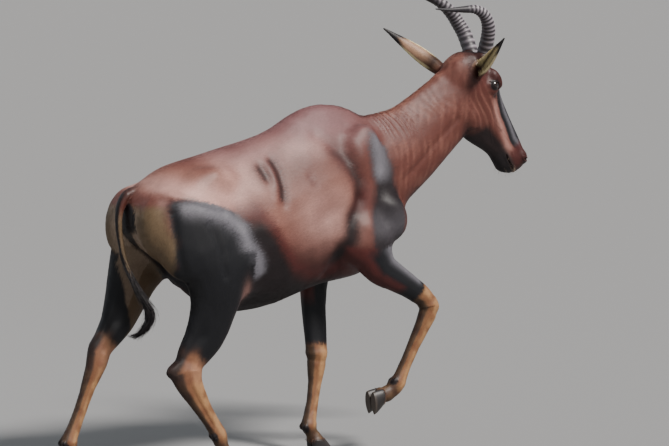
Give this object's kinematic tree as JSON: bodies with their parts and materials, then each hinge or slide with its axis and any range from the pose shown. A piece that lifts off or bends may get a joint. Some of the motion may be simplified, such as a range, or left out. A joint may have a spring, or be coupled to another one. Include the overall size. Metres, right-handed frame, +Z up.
{
  "type": "topi antelope",
  "caption": "Life-size still topi antelope walking, one forefoot raised: sloping back, long face, ringed horns, cupped ears, tufted tail, cloven hooves.",
  "frame": {"origin": "on the floor under the middle of the animal's length and width", "axes": "+Z up, the animal faces -Y, its left side is +X"},
  "size_m": [0.4509, 1.8849, 1.6422],
  "materials": {
    "red_coat": "short glossy hair lying flat",
    "neck_coat": "short hair lying flat",
    "head_coat": "very short hair, dark blaze",
    "dark_coat": "short glossy blue-black hair",
    "tan_coat": "short hair lying flat",
    "ear_coat": "fine short hair",
    "black_hair": "long coarse hair",
    "horn": "ringed horn, worn smooth at the tips",
    "hoof": "dull horn",
    "eye": "wet gloss"
  },
  "bodies": {
    "root": {"ear_left": "ear_coat", "ear_right": "ear_coat", "eye_left": "eye", "eye_right": "eye", "head": "head_coat", "hoof_fore_left_inner": "hoof", "hoof_fore_left_outer": "hoof", "hoof_fore_right_inner": "hoof", "hoof_fore_right_outer": "hoof", "hoof_hind_left_inner": "hoof", "hoof_hind_left_outer": "hoof", "hoof_hind_right_inner": "hoof", "hoof_hind_right_outer": "hoof", "horn_left": "horn", "horn_right": "horn", "leg_fore_left_lower": "tan_coat", "leg_fore_left_upper": "dark_coat", "leg_fore_right_lower": "tan_coat", "leg_fore_right_upper": "dark_coat", "leg_hind_left_lower": "tan_coat", "leg_hind_left_upper": "dark_coat", "leg_hind_right_lower": "tan_coat", "leg_hind_right_upper": "dark_coat", "neck": "neck_coat", "tail": "black_hair", "trunk": "red_coat"}
  },
  "joints": []
}
